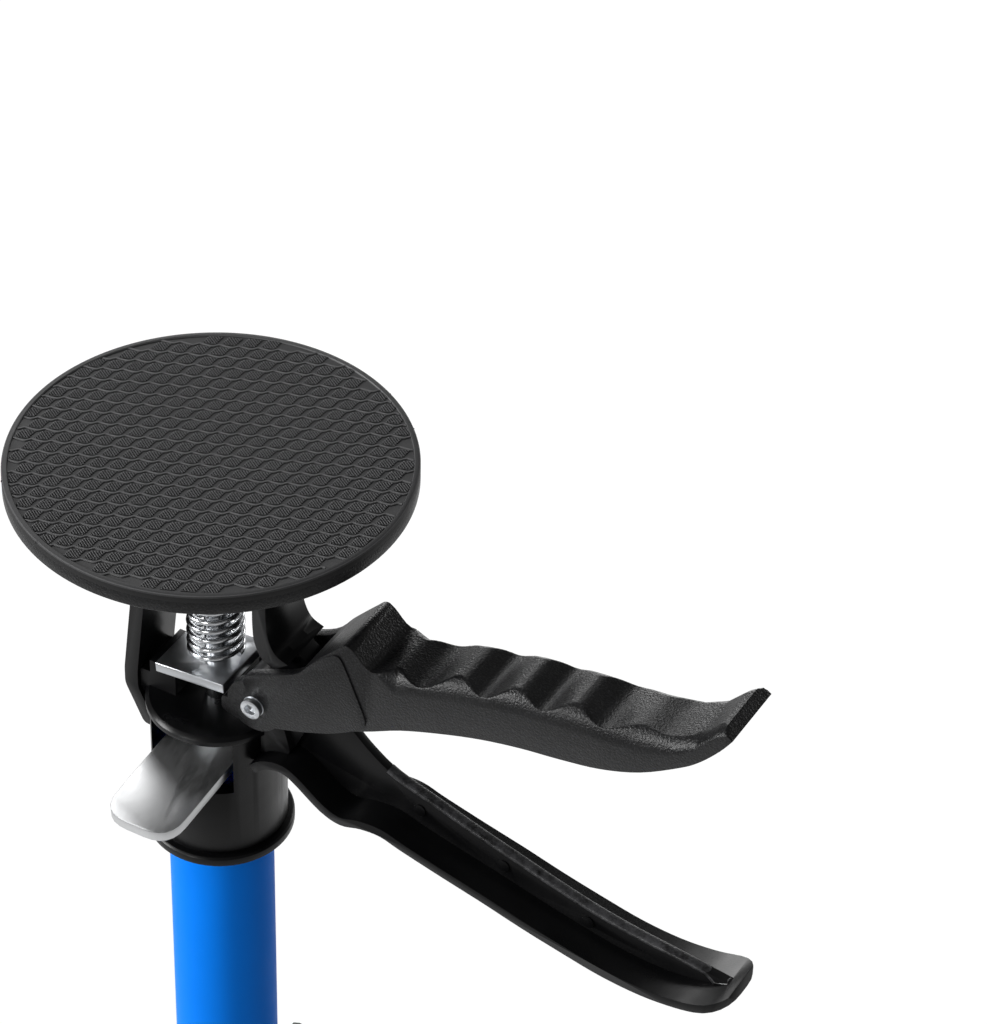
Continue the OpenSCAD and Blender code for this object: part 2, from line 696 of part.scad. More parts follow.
// Trigger: two cheeks that straddle the lug, and a hollow grip with finger grooves
module trigger() {
    top = through(sized(grip_top_shares, grip_l, grip_l));
    low = through(sized(grip_low_shares, grip_l, grip_l));
    cheek = eased(sized(cheek_shares, grip_l, grip_l), roof_t);
    side_step = 0.6;
    inside_w = grip_w - 2 * cheek_t;
    root = lug_w / 2 + grip_l * 0.07;
    nose = pivot_h - nose_h;
    color("#202022")
        translate([pivot_x, 0, head_z + pivot_h])
            difference() {
                union() {
                    slab(concat(top, low), grip_w - 2 * side_step);
                    slab(cheek, grip_w);
                    rod_y(boss_r, -grip_w / 2, grip_w / 2);
                    slab(eased([[-lever_l, -nose - nose_t], [0, -boss_r], [0, -nose], [-lever_l, -nose]], web_t / 2),
                         grip_w);
                }
                translate([0, 0, -roof_t])
                    slab(concat(top, low), inside_w);
                translate([0, 0, -2 * roof_t])
                    slab(concat(top, low), inside_w);
                block([-2 * boss_r, -inside_w / 2, -2 * boss_r], [root, inside_w / 2, grip_l * 0.13]);
                rod_y(bush_r + fit, -grip_w, grip_w);
            }
}

module drive_plate() {
    hole_x = (-lug_x + drive_t / 2 * sin(drive_tilt)) / cos(drive_tilt);
    color("#c9ccd0")
        translate([lug_x, 0, head_z + lug_top + gap])
            rotate([0, -drive_tilt, 0])
                difference() {
                    block([0, -drive_w / 2, 0], [drive_l, drive_w / 2, drive_t]);
                    translate([hole_x, 0, -cut])
                        cylinder(r = plate_hole_r, h = drive_t + 2 * cut);
                }
}

module main_spring() {
    line = spring_line(main_r, main_turns, main_low, main_high, main_wire, sin(drive_tilt));
    echo(main_spring_least_gap = least_gap(line, main_wire));
    color("#c4c7ca")
        translate([0, 0, head_z])
            wire_form(line, main_wire);
}

// Release tongue: a jam plate on the rod, held tilted by its spring until its end is pressed up
module release_plate() {
    hole_y = ledge_y / cos(tongue_tilt) - (ledge_r + tongue_t / 2) * tan(tongue_tilt);
    color("#cfd2d5")
        translate([0, ledge_y, head_z + ledge_top - ledge_r])
            rotate([tongue_tilt, 0, 0])
                translate([0, -hole_y, ledge_r + fit])
                    difference() {
                        linear_extrude(tongue_t)
                            intersection() {
                                polygon(eased([[tongue_w / 2, -tongue_l], [tongue_w / 2, tongue_far],
                                               [-tongue_w / 2, tongue_far], [-tongue_w / 2, -tongue_l]],
                                              tongue_round, 6));
                                union() {
                                    circle(r = tongue_far);
                                    translate([-tongue_w / 2, -tongue_l])
                                        square([tongue_w, tongue_l]);
                                }
                            }
                        translate([0, 0, -cut])
                            cylinder(r = plate_hole_r, h = tongue_t + 2 * cut);
                    }
}

module brake_spring() {
    line = spring_line(brake_r, brake_turns, brake_low, brake_high, brake_wire, 0);
    echo(brake_spring_least_gap = least_gap(line, brake_wire));
    color("#b9bcc0")
        translate([0, 0, head_z])
            wire_form(line, brake_wire);
}

// Lifting rod with a thinner stub that screws into the eye
module jack_rod() {
    stub_r = rod_r * 0.6;
    shoulder = frame_h - eye_seat + gap;
    color("#c4c7ca")
        translate([0, 0, head_z]) {
            translate([0, 0, -rod_tail])
                cylinder(r = rod_r, h = rod_tail + shoulder);
            cylinder(r = stub_r, h = head_pin - pin_d / 2 - 2 * gap);
        }
}

// Nut on the rod's lower end, which stops it from leaving the head
module rod_nut() {
    color("#c4c7ca")
        translate([0, 0, head_z - rod_tail + rod_r / 2])
            difference() {
                cylinder(r = rod_d * 0.93, h = rod_d * 0.8, $fn = 6);
                translate([0, 0, -cut])
                    cylinder(r = rod_r + fit / 2, h = rod_d + 2 * cut);
            }
}

// Eye on top of the rod, with a round foot that sits in the head's recess
module rod_eye() {
    shoulder = frame_h - eye_seat + gap;
    stub_r = rod_r * 0.6;
    color("#1d1d1f")
        translate([0, 0, head_z])
            difference() {
                union() {
                    translate([0, 0, shoulder])
                        cylinder(r = eye_foot_r, h = frame_h - shoulder);
                    block([-eye_t / 2, -eye_foot_r * 0.8, shoulder + gap], [eye_t / 2, eye_foot_r * 0.8, head_pin]);
                    translate([0, 0, head_pin])
                        rod_x(eye_r, -eye_t / 2, eye_t / 2);
                }
                cylinder(r = stub_r + fit / 2, h = head_pin - pin_d / 2 - gap);
                translate([0, 0, head_pin])
                    rod_x(pin_d / 2 + fit, -eye_t, eye_t);
            }
}

module top_pin() {
    color("#b9bcc0")
        translate([0, 0, head_z + head_pin])
            swivel_pin();
}

module top_pad() {
    color("#222224")
        translate([0, 0, head_z + head_top])
            rotate([180, 0, 0])
                pad_body();
}

module top_tread() {
    color("#1b1b1c")
        translate([0, 0, head_z + head_top])
            rotate([180, 0, 0])
                pad_tread();
}

foot_tread();
foot_pad();
foot_pin();
foot_cap();
outer_tube();
lock_collar();
clamp_bolt();
clamp_washer();
star_knob();
knob_insert();
inner_tube();
guide_bush();
head_body();
spring_washer();
pivot_bush();
pivot_screw();
pivot_nut();
trigger();
drive_plate();
main_spring();
release_plate();
brake_spring();
jack_rod();
rod_nut();
rod_eye();
top_pin();
top_pad();
top_tread();
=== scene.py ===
# %% [markdown]
# A telescopic support pole holds a board against a ceiling. A foot and a top pad swivel on pins, two blue
# steel tubes slide in each other, and a moulded jack head lifts the top pad a little with each squeeze of
# its trigger. The CAD model gives every solid its place and size. This script gives them their looks:
# softened edges, wound springs, a patterned tread and materials. All lengths are metres, as in the frame.

import json
import math

import bmesh
import bpy
from mathutils import Matrix, Vector


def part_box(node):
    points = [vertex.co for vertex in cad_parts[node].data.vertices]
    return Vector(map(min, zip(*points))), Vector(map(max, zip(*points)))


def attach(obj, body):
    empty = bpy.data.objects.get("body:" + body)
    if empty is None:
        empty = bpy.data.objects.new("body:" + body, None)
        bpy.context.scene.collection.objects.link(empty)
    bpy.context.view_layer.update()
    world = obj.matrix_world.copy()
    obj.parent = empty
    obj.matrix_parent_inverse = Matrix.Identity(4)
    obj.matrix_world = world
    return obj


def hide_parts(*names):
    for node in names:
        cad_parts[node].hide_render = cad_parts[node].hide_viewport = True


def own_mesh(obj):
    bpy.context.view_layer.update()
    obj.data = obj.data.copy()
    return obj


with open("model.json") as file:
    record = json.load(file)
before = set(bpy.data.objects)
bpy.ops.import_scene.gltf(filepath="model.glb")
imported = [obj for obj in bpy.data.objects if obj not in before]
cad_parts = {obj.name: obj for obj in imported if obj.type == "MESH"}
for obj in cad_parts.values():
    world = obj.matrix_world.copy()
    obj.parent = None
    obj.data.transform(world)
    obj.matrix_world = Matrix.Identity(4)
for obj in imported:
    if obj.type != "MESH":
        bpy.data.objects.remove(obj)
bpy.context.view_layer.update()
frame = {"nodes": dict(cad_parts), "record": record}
MM = 0.001

# %% [markdown]
# The places that pieces share are read from the frame, so they follow the CAD model. The head is measured
# up from the bottom of its sleeve, because that is how its drawing gives it.

# %% Places
HEAD_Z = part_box("head_body")[0].z
TOP_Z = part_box("top_tread")[1].z
print("sleeve bottom", round(HEAD_Z, 4), "top face", round(TOP_Z, 5))

# %% [markdown]
# The camera looks down at the head from the front left of the handles, as in the enlarged part of the
# photograph. Its place comes from fitting known sizes, such as the pad's width, to the picture. It is
# made from three axes, so that the small roll of the picture can be part of it. The point that the fit gave
# lies a little off the middle of the picture, so the camera is turned towards the middle at the end.

# %% Camera
PICTURE_W = 987
PICTURE_H = 1024
SENSOR = 36.0
FOCAL_PX = 4680.4
AZIMUTH = math.radians(29.67)
ELEVATION = math.radians(41.39)
ROLL = math.radians(1.11)
DISTANCE = 1382.5 * MM
AIM = Vector((67.6 * MM, 38.5 * MM, HEAD_Z + 73.3 * MM))
OFF_PX = (13.9, 129.0)
NEAREST = 0.05


def stand_camera():
    back = Vector((math.sin(AZIMUTH) * math.cos(ELEVATION), -math.cos(AZIMUTH) * math.cos(ELEVATION),
                   math.sin(ELEVATION)))
    level = Vector((math.cos(AZIMUTH), math.sin(AZIMUTH), 0))
    above = back.cross(level)
    right = level * math.cos(ROLL) + above * math.sin(ROLL)
    up = above * math.cos(ROLL) - level * math.sin(ROLL)
    spot = AIM + back * DISTANCE
    middle = AIM + (right * OFF_PX[0] + up * OFF_PX[1]) * (DISTANCE / FOCAL_PX)
    back = (spot - middle).normalized()
    right = up.cross(back).normalized()
    up = back.cross(right)
    data = bpy.data.cameras.new("close_up")
    data.sensor_width = SENSOR
    data.lens = FOCAL_PX * SENSOR / PICTURE_H
    data.clip_start = NEAREST
    camera = bpy.data.objects.new("close_up", data)
    rows = [[right[i], up[i], back[i], spot[i]] for i in range(3)]
    camera.matrix_world = Matrix(rows + [[0, 0, 0, 1]])
    bpy.context.collection.objects.link(camera)
    bpy.context.scene.camera = camera
    return right, up, back


RIGHT, UP, BACK = stand_camera()
print("camera", PICTURE_W, "x", PICTURE_H, "px, lens", round(bpy.context.scene.camera.data.lens, 1), "mm")

# %% [markdown]
# Product light is soft and mostly comes from one side. The key lamp on the left gives the tube its bright
# side, and a weaker one nearer to the camera lights the fronts of the mouldings. Two lamps above draw the
# finger grooves and the rims, and a weak one behind on the right keeps the far side readable. Lamps are
# set out in the camera's own directions and are large, so black mouldings show long soft highlights.

# %% Lamps
def soft_lamp(name, right, up, back, size, power):
    """A round lamp that faces the aim, placed by metres to the camera's right, upwards and back to it."""
    data = bpy.data.lights.new(name, "AREA")
    data.shape = "DISK"
    data.size = size
    data.energy = power
    lamp = bpy.data.objects.new(name, data)
    away = RIGHT * right + UP * up + BACK * back
    lamp.location = AIM + away
    lamp.rotation_euler = away.to_track_quat("Z", "Y").to_euler()
    bpy.context.collection.objects.link(lamp)


soft_lamp("key_left", -2.3, 0.4, 0.7, 0.9, 50)
soft_lamp("left_front", -1.7, -0.3, 2.1, 0.8, 17)
soft_lamp("overhead", -0.7, 2.4, -0.3, 0.8, 14)
soft_lamp("top_back", 0.1, 1.7, -2.1, 1.5, 22)
soft_lamp("right_back", 2.1, 1.3, -1.2, 0.8, 9)

# %% [markdown]
# A material is a small network of nodes. One helper adds a node: sockets given as plain values are set,
# and sockets given as another node's output are linked. A colour is written as the sRGB hex that an eye
# would pick from a picture, and is turned to the linear values that the renderer adds up.

# %% Material helpers
SAME_LEVEL = 0.012 * MM


def linear(hex_code):
    parts = [int(hex_code[i:i + 2], 16) / 255 for i in (1, 3, 5)]
    return [*(p / 12.92 if p <= 0.04045 else ((p + 0.055) / 1.055) ** 2.4 for p in parts), 1]


def add(tree, kind, inputs=None, **settings):
    made = tree.nodes.new(kind)
    for key, value in settings.items():
        setattr(made, key, value)
    for key, value in (inputs or {}).items():
        if isinstance(value, bpy.types.NodeSocket):
            tree.links.new(value, made.inputs[key])
        else:
            made.inputs[key].default_value = value
    return made


def start_material(name, roughness, metallic=0.0, ior=1.5):
    material = bpy.data.materials.new(name)
    material.use_nodes = True
    tree = material.node_tree
    tree.nodes.clear()
    shader = add(tree, "ShaderNodeBsdfPrincipled",
                 {"Metallic": metallic, "Roughness": roughness, "IOR": ior})
    out = add(tree, "ShaderNodeOutputMaterial", {"Surface": shader.outputs["BSDF"]})
    place = add(tree, "ShaderNodeTexCoord").outputs["Object"]
    return material, tree, shader, place, out


def noise(tree, place, grain, detail=2.0, rough=0.5):
    """Noise whose blotches are about grain wide."""
    return add(tree, "ShaderNodeTexNoise", {"Vector": place, "Scale": 1 / grain, "Detail": detail,
                                            "Roughness": rough}).outputs["Fac"]


def spread(tree, value, low, high, start=0.3, end=0.7):
    """A value from start to end becomes one from low to high."""
    return add(tree, "ShaderNodeMapRange", {"Value": value, "From Min": start, "From Max": end,
                                            "To Min": low, "To Max": high}).outputs["Result"]


def calc(tree, operation, a, b=0.0, c=SAME_LEVEL):
    """One sum of two values. The third matters only to COMPARE, as how far the two may differ."""
    return add(tree, "ShaderNodeMath", {0: a, 1: b, 2: c}, operation=operation).outputs["Value"]


def blend_colours(tree, share, first, second):
    mix = add(tree, "ShaderNodeMix", {"Factor": share}, data_type="RGBA")
    for socket, colour in zip([s for s in mix.inputs if s.type == "RGBA"], (first, second)):
        if isinstance(colour, bpy.types.NodeSocket):
            tree.links.new(colour, socket)
        else:
            socket.default_value = colour
    return [s for s in mix.outputs if s.type == "RGBA"][0]


def bump(tree, height, depth, strength=1.0, under=None):
    inputs = {"Height": height, "Distance": depth, "Strength": strength}
    if under is not None:
        inputs["Normal"] = under
    return add(tree, "ShaderNodeBump", inputs).outputs["Normal"]


print("black of #141414 is", round(linear("#141414")[0], 4), "in linear light")

# %% [markdown]
# The head, handles, pads, collar and cap are glass-filled nylon 6, injection moulded, with an IOR of 1.53.
# The moulds of the trigger, pads, cap and knob were spark eroded, which leaves an even matt grain of about
# 0.1 mm. That is too fine to show in the render, so it is drawn 0.7 mm wide. Grey specks in the black stand
# partly for fibres near the surface and partly for painted glints of light on the grain, and they too are
# drawn coarser than they are. The head, the collar, the bush and the rod's eye came from polished moulds, so
# they are satin, with hardly any grain.
# The rounded top of the fixed handle is rubbed by hands, so it is worn to grey in irregular spots.

# %% Moulded nylon
NYLON_GRAIN = 0.7 * MM
FIBRE_AND_GLINT_SPECK = 0.45 * MM


def spark_eroded_nylon():
    material, tree, shader, place, _ = start_material("spark_eroded_glass_filled_nylon", 0.34, ior=1.53)
    shader.inputs["Specular IOR Level"].default_value = 0.3
    grain = noise(tree, place, NYLON_GRAIN, 2.0, 0.6)
    blotch = noise(tree, place, 14 * MM, 3.0)
    shade = blend_colours(tree, spread(tree, blotch, 0, 1), linear("#09090a"), linear("#101011"))
    # Grey specks: partly the tone of fibres, partly painted glints of light on the grain.
    fibre_and_glint_specks = spread(tree, noise(tree, place, FIBRE_AND_GLINT_SPECK, 1.0), 0, 0.8, 0.56, 0.7)
    tree.links.new(blend_colours(tree, fibre_and_glint_specks, shade, linear("#27282a")), shader.inputs["Base Color"])
    tree.links.new(spread(tree, blotch, 0.3, 0.4), shader.inputs["Roughness"])
    sink = bump(tree, noise(tree, place, 9 * MM, 1.0), 0.12 * MM)
    tree.links.new(bump(tree, grain, 0.2 * MM, 1.0, sink), shader.inputs["Normal"])
    return material


def satin_nylon():
    material, tree, shader, place, _ = start_material("satin_moulded_nylon", 0.3, ior=1.53)
    shader.inputs["Specular IOR Level"].default_value = 0.2
    blotch = noise(tree, place, 18 * MM, 3.0)
    tree.links.new(blend_colours(tree, spread(tree, blotch, 0, 1), linear("#070708"), linear("#0c0c0d")),
                   shader.inputs["Base Color"])
    tree.links.new(spread(tree, blotch, 0.26, 0.38), shader.inputs["Roughness"])
    sink = bump(tree, noise(tree, place, 10 * MM, 1.0), 0.1 * MM)
    tree.links.new(bump(tree, noise(tree, place, 0.6 * MM), 0.02 * MM, 0.6, sink), shader.inputs["Normal"])
    return material


def worn_nylon():
    material, tree, shader, place, _ = start_material("worn_nylon_edge", 0.34, ior=1.53)
    shader.inputs["Specular IOR Level"].default_value = 0.35
    rub = spread(tree, noise(tree, place, 4 * MM, 4.0, 0.7), 0, 1, 0.38, 0.62)
    tree.links.new(blend_colours(tree, rub, linear("#0d0d0e"), linear("#434345")), shader.inputs["Base Color"])
    tree.links.new(bump(tree, noise(tree, place, NYLON_GRAIN, 2.0, 0.6), 0.12 * MM), shader.inputs["Normal"])
    return material


SPARK_NYLON = spark_eroded_nylon()
WORN_NYLON = worn_nylon()
SATIN_NYLON = satin_nylon()
print("nylon finishes:", SPARK_NYLON.name, SATIN_NYLON.name, WORN_NYLON.name)

# %% [markdown]
# The treads are moulded EPDM rubber, dull, with a fine grain of about 0.5 mm. Light from above is painted
# into their colour: the top face is painted lighter than the dark side of the rim, the floors of the pattern's
# cells are painted dark as shade, and the tops of the thin ribs that stand in them get a painted highlight.
# The material tells these apart by height, as a pattern on Object coordinates can.
# Both tubes are cold-rolled steel with a polyester powder coat, which flows out almost smooth and keeps a
# faint orange peel of 1 to 2 mm under its half-matt skin.

# %% Rubber and powder coat
FACE_SUNK = 0.5 * MM
FACE_BAND = 0.75 * MM
PATCH_RISE = 0.03 * MM
RIB_LIFT = 0.3 * MM
RIB_BAND = 0.12 * MM
ORANGE_PEEL = 1.6 * MM


def moulded_rubber():
    material, tree, shader, place, _ = start_material("moulded_epdm_rubber", 0.55, ior=1.5)
    shader.inputs["Specular IOR Level"].default_value = 0.4
    dust = noise(tree, place, 30 * MM, 4.0, 0.6)
    rubber_tone = blend_colours(tree, spread(tree, dust, 0, 1), linear("#0b0b0c"), linear("#101011"))
    # Painted light: the top face of either tread gets this lighter grey, as if lit from above, and the rim's
    # side keeps the dark tone.
    painted_top_light = blend_colours(tree, spread(tree, dust, 0, 1), linear("#343435"), linear("#3e3e3f"))
    height = add(tree, "ShaderNodeSeparateXYZ", {"Vector": place}).outputs["Z"]
    face = calc(tree, "MAXIMUM", calc(tree, "GREATER_THAN", height, TOP_Z - FACE_BAND),
                calc(tree, "LESS_THAN", height, FACE_BAND))
    shown = blend_colours(tree, face, rubber_tone, painted_top_light)
    # Painted shade: the floors of the pattern's cells are made near black, as shade in the recesses.
    patch = calc(tree, "MAXIMUM",
                 calc(tree, "COMPARE", height, TOP_Z - FACE_SUNK + PATCH_RISE),
                 calc(tree, "COMPARE", height, FACE_SUNK - PATCH_RISE))
    shown = blend_colours(tree, patch, shown, linear("#050505"))
    # Painted highlight: a thin band of height at the tops of the net's ribs is made pale grey.
    rib = calc(tree, "MAXIMUM", calc(tree, "COMPARE", height, TOP_Z - FACE_SUNK + RIB_LIFT, RIB_BAND),
               calc(tree, "COMPARE", height, FACE_SUNK - RIB_LIFT, RIB_BAND))
    tree.links.new(blend_colours(tree, rib, shown, linear("#585859")), shader.inputs["Base Color"])
    tree.links.new(spread(tree, dust, 0.46, 0.6), shader.inputs["Roughness"])
    tree.links.new(bump(tree, noise(tree, place, 0.5 * MM), 0.05 * MM, 0.7), shader.inputs["Normal"])
    return material


def blue_powder_coat():
    material, tree, shader, place, _ = start_material("blue_polyester_powder_coat", 0.38, ior=1.5)
    shader.inputs["Specular IOR Level"].default_value = 0.08
    drift = noise(tree, place, 30 * MM, 2.0)
    tree.links.new(blend_colours(tree, spread(tree, drift, 0, 1), linear("#0080f8"), linear("#0084ff")),
                   shader.inputs["Base Color"])
    tree.links.new(spread(tree, noise(tree, place, 6 * MM), 0.36, 0.42), shader.inputs["Roughness"])
    tree.links.new(bump(tree, noise(tree, place, ORANGE_PEEL, 1.0), 0.03 * MM, 0.5), shader.inputs["Normal"])
    return material


RUBBER = moulded_rubber()
BLUE_COAT = blue_powder_coat()
print("rubber and paint:", RUBBER.name, BLUE_COAT.name)

# %% [markdown]
# Plates, rod, screws and springs are steel with bright zinc plating of a few micrometres, which keeps the
# marks of the metal under it: drawing lines along the rod, brushing lines along the tongue. Such lines are
# about 0.05 mm wide and would not show, so they are drawn 0.4 mm wide. A metal shows only what it reflects,
# so its finish is mostly uneven roughness and fine lines. The threaded insert of the knob is turned brass.

# %% Metals
METAL_LINE = 0.4 * MM


def plated_metal(name, dark, light, low, high, line_scale, line_depth):
    """Metal with fine lines: line_scale stretches the noise, so lines run along the axis with the least."""
    material, tree, shader, place, _ = start_material(name, 0.25, metallic=1.0)
    stretched = add(tree, "ShaderNodeMapping", {"Vector": place, "Scale": line_scale}).outputs["Vector"]
    lines = noise(tree, stretched, METAL_LINE, 2.0)
    cloud = noise(tree, place, 12 * MM, 3.0)
    tree.links.new(blend_colours(tree, spread(tree, cloud, 0, 1), linear(dark), linear(light)),
                   shader.inputs["Base Color"])
    uneven = calc(tree, "ADD", lines, calc(tree, "MULTIPLY", cloud, 0.5))
    tree.links.new(spread(tree, uneven, low, high, 0.55, 0.95), shader.inputs["Roughness"])
    tree.links.new(bump(tree, lines, line_depth, 0.6), shader.inputs["Normal"])
    return material


ZINC_PLATE = plated_metal("bright_zinc_plated_steel", "#bfc2c5", "#cacccf", 0.28, 0.36, (1, 1, 1), 0.001 * MM)
ZINC_ROD = plated_metal("zinc_plated_drawn_rod", "#b9bcc0", "#cbcdd0", 0.16, 0.26, (1, 1, 0.04), 0.004 * MM)
SPRING_WIRE = plated_metal("zinc_plated_spring_wire", "#c4c6c9", "#d6d8da", 0.14, 0.22, (1, 1, 1), 0.003 * MM)
BRUSHED_TONGUE = plated_metal("brushed_zinc_plated_strip", "#d4d5d6", "#dedfe0", 0.36, 0.46, (1, 0.02, 1),
                              0.006 * MM)
TURNED_BRASS = plated_metal("turned_brass", "#b28a45", "#cfaa62", 0.2, 0.35, (1, 1, 1), 0.003 * MM)
print("metals:", [m.name for m in (ZINC_PLATE, ZINC_ROD, SPRING_WIRE, BRUSHED_TONGUE, TURNED_BRASS)])

# %% [markdown]
# No moulded or stamped edge is sharp: a mould's corner has a radius and a punched plate a soft burr. The
# CAD solids are drawn sharp, so each one is copied, its flat triangles are joined to faces again, and a
# Bevel modifier rounds every edge that turns more than a set angle. The copy then stands for the node.
# The list gives each piece's radius in millimetres: large on mouldings that are gripped, small on sheet.

# %% Softened copies
BODY_OF = {node: body for body, nodes in frame["record"]["behaviour"]["bodies"].items() for node in nodes}
SMOOTH_LIMIT = math.radians(30)
MERGE = 0.002 * MM
FLAT = math.radians(0.5)


def finish_piece(piece, material, slot, *nodes):
    """Gives a finished mesh its material and hands it to the frame in the place of these CAD nodes."""
    piece.data.materials.clear()
    piece.data.materials.append(material)
    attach(piece, BODY_OF[nodes[0]])
    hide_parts(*nodes)
    return piece


def baked(piece, name):
    """The piece with its modifiers made real, as a new plain object."""
    graph = bpy.context.evaluated_depsgraph_get()
    mesh = bpy.data.meshes.new_from_object(piece.evaluated_get(graph))
    made = bpy.data.objects.new(name, mesh)
    bpy.context.collection.objects.link(made)
    bpy.data.objects.remove(piece)
    return made


def joined_copy(node):
    """A copy of a CAD node with its loose triangles merged and its flat faces joined."""
    bm = bmesh.new()
    bm.from_mesh(frame["nodes"][node].data)
    bmesh.ops.remove_doubles(bm, verts=bm.verts, dist=MERGE)
    bmesh.ops.dissolve_degenerate(bm, edges=bm.edges, dist=MERGE)
    bmesh.ops.dissolve_limit(bm, angle_limit=FLAT, verts=bm.verts, edges=bm.edges)
    mesh = bpy.data.meshes.new(node)
    bm.to_mesh(mesh)
    bm.free()
    made = bpy.data.objects.new(node + "_copy", mesh)
    bpy.context.collection.objects.link(made)
    return made


def softened(node, name, radius, material, slot):
    """A copy of a node with its sharp edges rounded, standing for the node."""
    copy = joined_copy(node)
    bevel = copy.modifiers.new("round", "BEVEL")
    bevel.width = radius
    bevel.segments = 2
    bevel.limit_method = "ANGLE"
    bevel.angle_limit = math.radians(32)
    piece = baked(copy, name)
    piece.data.shade_smooth()
    piece.data.set_sharp_from_angle(angle=SMOOTH_LIMIT)
    finish_piece(piece, material, slot, node)
    print(name, "faces", len(piece.data.polygons))
    return piece


for node, radius, material, slot in (
        ("foot_pad", 0.4, SPARK_NYLON, "black_nylon"), ("top_pad", 0.4, SPARK_NYLON, "black_nylon"),
        ("foot_cap", 0.5, SPARK_NYLON, "black_nylon"), ("lock_collar", 0.4, SATIN_NYLON, "black_nylon"),
        ("star_knob", 0.9, SPARK_NYLON, "black_nylon"), ("head_body", 0.5, SATIN_NYLON, "black_nylon"),
        ("guide_bush", 0.4, SATIN_NYLON, "black_nylon"),
        ("rod_eye", 0.4, SATIN_NYLON, "black_nylon"), ("outer_tube", 0.2, BLUE_COAT, "blue_paint"),
        ("inner_tube", 0.2, BLUE_COAT, "blue_paint"), ("foot_pin", 0.25, ZINC_PLATE, "zinc_steel"),
        ("top_pin", 0.25, ZINC_PLATE, "zinc_steel"), ("clamp_bolt", 0.3, ZINC_PLATE, "zinc_steel"),
        ("clamp_washer", 0.15, ZINC_PLATE, "zinc_steel"), ("knob_insert", 0.2, TURNED_BRASS, "brass"),
        ("spring_washer", 0.15, ZINC_PLATE, "zinc_steel"), ("pivot_bush", 0.15, ZINC_PLATE, "zinc_steel"),
        ("pivot_screw", 0.25, ZINC_PLATE, "zinc_steel"), ("pivot_nut", 0.3, ZINC_PLATE, "zinc_steel"),
        ("drive_plate", 0.35, ZINC_PLATE, "zinc_steel"), ("release_plate", 0.5, BRUSHED_TONGUE, "zinc_steel"),
        ("jack_rod", 0.3, ZINC_ROD, "zinc_steel"), ("rod_nut", 0.3, ZINC_PLATE, "zinc_steel")):
    softened(node, node + "_finished", radius * MM, material, slot)

# %% [markdown]
# The trigger is held by the fingers, so its back has rounded shoulders, and the finger hollows are cut
# across them. The softened copy is sliced finely, and every point above the rounded surface is lowered to
# it. That leaves each hollow with the U-shaped rim it has on the real handle. Sculpting by hand would give
# the same look, but not the same result on each run. GRIP_L is the handle's length from the pivot, as the
# CAD source sets it, and places along the handle are shares of it. RIDGE_TOPS gives the height of the
# ridges there, read from the photograph, and FULLNESS how far the shoulders fall, as a share of SHOULDER_H.

# %% Trigger shoulders
GRIP_L = 159 * MM
SHOULDER_W = 7.0 * MM
SHOULDER_H = 8.0 * MM
SHOULDER_FROM = 0.235
SLICED_FROM = 0.22
SIDE_ROUND = 0.6 * MM
SLICES = 114
SLICE_STEP = 0.0065
SIDE_SLICES = 30
SIDE_TURN = math.radians(3)
CREST_REACH = (0.27, 0.93)
CREST_NEAR = 0.25 * MM
CREST_STEP = 0.8 * MM
STATION_NEAR = 0.3 * MM
FULLNESS = ((0.2, 0.15), (0.25, 0.2), (0.3, 1.0), (0.8, 1.0), (0.93, 0.45), (1.0, 0.35))
RIDGE_TOPS = ((0.19, 0.238), (0.25, 0.216), (0.297, 0.213), (0.424, 0.254), (0.543, 0.282), (0.658, 0.297),
              (0.786, 0.309), (0.86, 0.322), (0.905, 0.344), (0.943, 0.384), (0.99, 0.42))


def between(table, x):
    """The value of a table of pairs at x, on straight lines between its rows."""
    for (x0, y0), (x1, y1) in zip(table, table[1:]):
        if x <= x1:
            return y0 + (y1 - y0) * max(0, x - x0) / (x1 - x0)
    return table[-1][1]


def slice_planes(pivot, half):
    """Planes across the handle, then planes along both its sides that close up towards the edges."""
    planes = [(Vector((pivot.x + GRIP_L * (SHOULDER_FROM + SLICE_STEP * i), 0, 0)), Vector((1, 0, 0)))
              for i in range(SLICES)]
    for side in (-1, 1):
        for i in range(SIDE_SLICES):
            y = side * (half - SHOULDER_W * (1 - math.sin(SIDE_TURN * i)))
            planes.append((Vector((0, y, 0)), Vector((0, 1, 0))))
    return planes


def crest_line(bm, stations, flat_half):
    """The highest point of the handle's flat middle at every slice that has points."""
    line = []
    for x in stations:
        near = [v.co for v in bm.verts if abs(v.co.x - x) < STATION_NEAR]
        if near:
            line.append((x, max(co.z for co in near if abs(co.y) < flat_half)))
    return line


